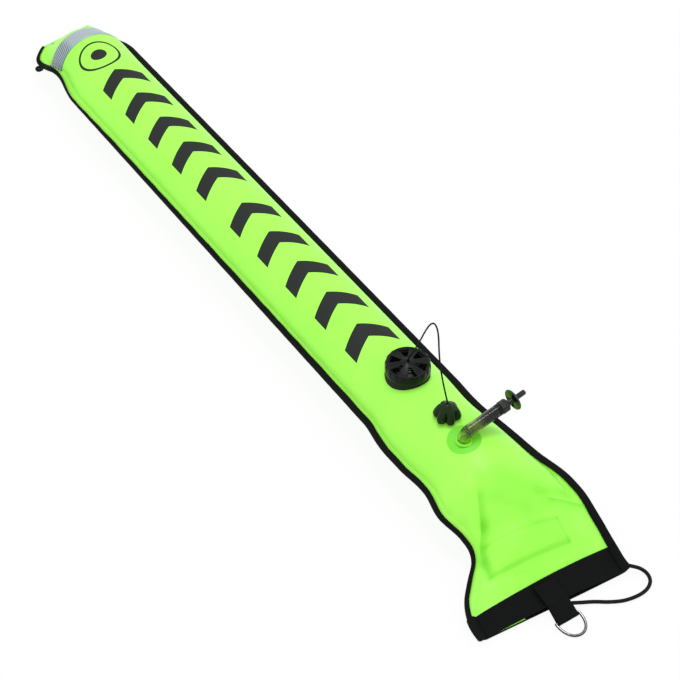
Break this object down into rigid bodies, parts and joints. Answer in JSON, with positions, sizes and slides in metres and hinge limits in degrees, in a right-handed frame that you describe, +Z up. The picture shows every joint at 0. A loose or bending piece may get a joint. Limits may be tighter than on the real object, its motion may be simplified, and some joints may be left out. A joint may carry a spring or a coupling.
{
  "type": "surface marker buoy",
  "caption": "Long inflated marker tube with a dump valve and pull cord, an elbow inflator, and a flat open mouth with a D ring and an elastic loop.",
  "frame": {"origin": "on the floor under the middle of the dump valve, on the flat strip of the back panel", "axes": "+Z up, +Y along the tube towards its closed top end, +X to the right of who reads the front face"},
  "size_m": [0.1963, 1.1512, 0.1888],
  "materials": {
    "fluorescent_fabric": "coated, semi-gloss",
    "edge_tape": "matte woven tape",
    "webbing": "matte ribbed webbing",
    "reflective_tape": "retroreflective, satin",
    "black_plastic": "moulded, satin",
    "black_rubber": "matte",
    "silicone": "satin",
    "weld_ring_tpu": "satin film",
    "smoked_tube": "clear, smoke tinted",
    "stainless_steel": "polished",
    "ballast_lead": "dull",
    "black_cord": "braided"
  },
  "bodies": {
    "tube": {"front_panel": "fluorescent_fabric", "back_panel": "fluorescent_fabric", "left_edge_tape": "edge_tape", "right_edge_tape": "edge_tape", "front_mouth_band": "webbing", "back_mouth_band": "webbing", "reflective_band": "reflective_tape", "corner_loop": "black_cord", "valve_boss": "black_rubber", "valve_weld_ring": "weld_ring_tpu", "valve_body": "black_plastic", "poppet_spring": "stainless_steel", "elbow_tube": "smoked_tube", "elbow_weld_ring": "weld_ring_tpu", "inflator_body": "black_plastic", "neck_seal": "black_rubber", "inflator_spring": "stainless_steel", "d_ring_tab": "webbing", "bungee_loop": "black_cord", "ballast_pocket": "fluorescent_fabric", "ballast_plate": "ballast_lead", "duckbill_baffle": "fluorescent_fabric"},
    "poppet_set": {"poppet": "black_plastic", "poppet_seal": "silicone", "cord_knot": "black_cord", "pull_cord": "black_cord", "pull_knob": "black_plastic"},
    "gasket_ring": {"cap_gasket": "black_rubber"},
    "cap": {"valve_cap": "black_plastic"},
    "push_valve": {"inflator_plunger": "black_plastic", "inflator_seal": "silicone"},
    "collar": {"lock_collar": "black_plastic"},
    "ring": {"d_ring": "stainless_steel"}
  },
  "joints": [
    {"name": "dump_pull", "type": "slide", "parent": "tube", "child": "poppet_set", "axis": [0, 0, 1], "range_m": [0, 0.0035], "stiffness_N_per_m": 400, "springref_m": -0.006, "deforming": ["poppet_spring"]},
    {"name": "cap_lift", "type": "slide", "parent": "tube", "child": "gasket_ring", "axis": [0, 0, 1], "range_m": [0, 0.003]},
    {"name": "cap_turn", "type": "hinge", "parent": "gasket_ring", "child": "cap", "pos_m": [0, 0, 0.0885], "axis": [0, 0, 1], "range_deg": [0, 540]},
    {"name": "inflator_push", "type": "slide", "parent": "tube", "child": "push_valve", "axis": [-0.989, -0.0692, -0.1305], "range_m": [0, 0.004], "stiffness_N_per_m": 500, "springref_m": -0.005, "deforming": ["inflator_spring"]},
    {"name": "collar_turn", "type": "hinge", "parent": "tube", "child": "collar", "pos_m": [0.04621, -0.10828, 0.0926], "axis": [0.989, 0.0692, 0.1305], "range_deg": [0, 90]},
    {"name": "d_ring_swing", "type": "hinge", "parent": "tube", "child": "ring", "pos_m": [-0.02, -0.311, 0.0029], "axis": [1, 0, 0], "range_deg": [-140, 120]}
  ],
  "couplings": [
    {"joint": "cap_turn", "follows": "cap_lift", "rad_per_m": 3141.6}
  ]
}
